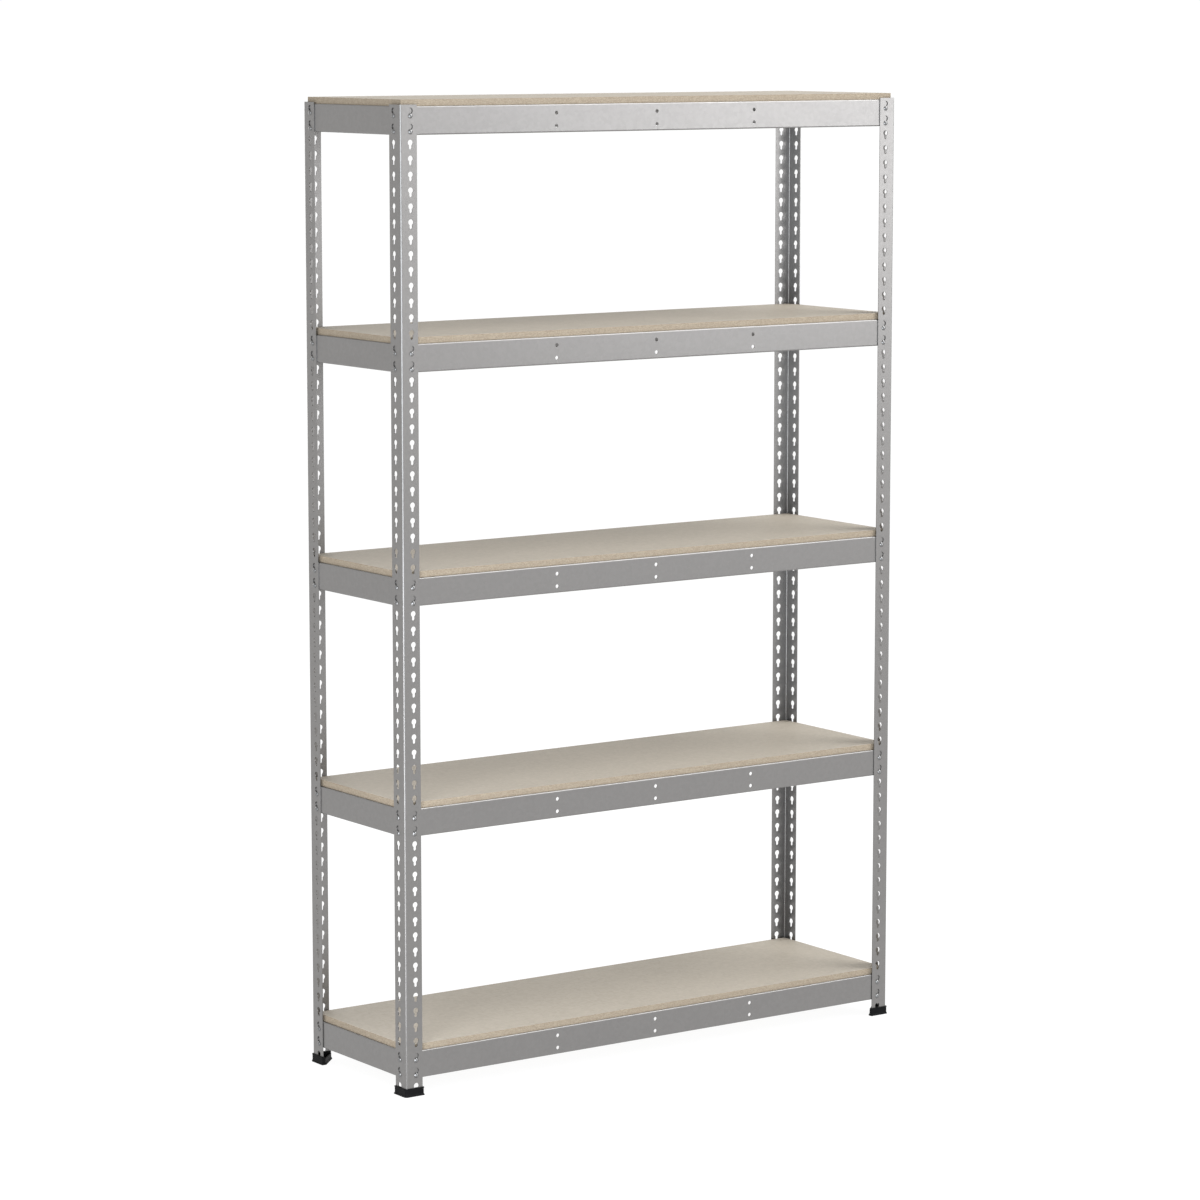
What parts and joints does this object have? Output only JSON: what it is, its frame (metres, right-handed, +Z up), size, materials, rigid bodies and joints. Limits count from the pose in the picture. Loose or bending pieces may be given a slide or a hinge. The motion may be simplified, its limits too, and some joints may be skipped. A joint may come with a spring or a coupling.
{
  "type": "boltless steel shelving",
  "caption": "Free-standing galvanised steel shelving with keyholed angle posts, riveted hook-in beams, chipboard boards and plastic feet.",
  "frame": {"origin": "on the floor, at the middle of the unit's footprint", "axes": "+X to the right along the width, +Y from the front to the back, +Z up"},
  "size_m": [1.2068, 0.3568, 1.9314],
  "materials": {
    "posts": "galvanised sheet steel, satin with a faint mottle",
    "beams": "galvanised sheet steel, satin with a faint mottle",
    "rivets": "zinc-plated steel, smooth satin",
    "boards": "raw sanded chipboard, tan coarse edges",
    "feet": "black moulded plastic, fine matte texture"
  },
  "bodies": {
    "uprights": {"post_front_left": "posts", "post_front_right": "posts", "post_rear_left": "posts", "post_rear_right": "posts", "foot_front_left": "feet", "foot_front_right": "feet", "foot_rear_left": "feet", "foot_rear_right": "feet"},
    "shelf_1": {"beam_front_1": "beams", "beam_rear_1": "beams", "beam_left_1": "beams", "beam_right_1": "beams", "rivets_1": "rivets"},
    "deck_1": {"board_1": "boards"},
    "shelf_2": {"beam_front_2": "beams", "beam_rear_2": "beams", "beam_left_2": "beams", "beam_right_2": "beams", "rivets_2": "rivets"},
    "deck_2": {"board_2": "boards"},
    "shelf_3": {"beam_front_3": "beams", "beam_rear_3": "beams", "beam_left_3": "beams", "beam_right_3": "beams", "rivets_3": "rivets"},
    "deck_3": {"board_3": "boards"},
    "shelf_4": {"beam_front_4": "beams", "beam_rear_4": "beams", "beam_left_4": "beams", "beam_right_4": "beams", "rivets_4": "rivets"},
    "deck_4": {"board_4": "boards"},
    "shelf_5": {"beam_front_5": "beams", "beam_rear_5": "beams", "beam_left_5": "beams", "beam_right_5": "beams", "rivets_5": "rivets"},
    "deck_5": {"board_5": "boards"}
  },
  "joints": [
    {"name": "shelf_1_unhook", "type": "slide", "parent": "uprights", "child": "shelf_1", "axis": [0, 0, 1], "range_m": [0, 0.0097]},
    {"name": "board_1_lift_off", "type": "slide", "parent": "shelf_1", "child": "deck_1", "axis": [0, 0, 1], "range_m": [0, 0.3]},
    {"name": "shelf_2_unhook", "type": "slide", "parent": "uprights", "child": "shelf_2", "axis": [0, 0, 1], "range_m": [0, 0.0097]},
    {"name": "board_2_lift_off", "type": "slide", "parent": "shelf_2", "child": "deck_2", "axis": [0, 0, 1], "range_m": [0, 0.3]},
    {"name": "shelf_3_unhook", "type": "slide", "parent": "uprights", "child": "shelf_3", "axis": [0, 0, 1], "range_m": [0, 0.0097]},
    {"name": "board_3_lift_off", "type": "slide", "parent": "shelf_3", "child": "deck_3", "axis": [0, 0, 1], "range_m": [0, 0.3]},
    {"name": "shelf_4_unhook", "type": "slide", "parent": "uprights", "child": "shelf_4", "axis": [0, 0, 1], "range_m": [0, 0.0097]},
    {"name": "board_4_lift_off", "type": "slide", "parent": "shelf_4", "child": "deck_4", "axis": [0, 0, 1], "range_m": [0, 0.3]},
    {"name": "shelf_5_unhook", "type": "slide", "parent": "uprights", "child": "shelf_5", "axis": [0, 0, 1], "range_m": [0, 0.0097]},
    {"name": "board_5_lift_off", "type": "slide", "parent": "shelf_5", "child": "deck_5", "axis": [0, 0, 1], "range_m": [0, 0.3]}
  ]
}
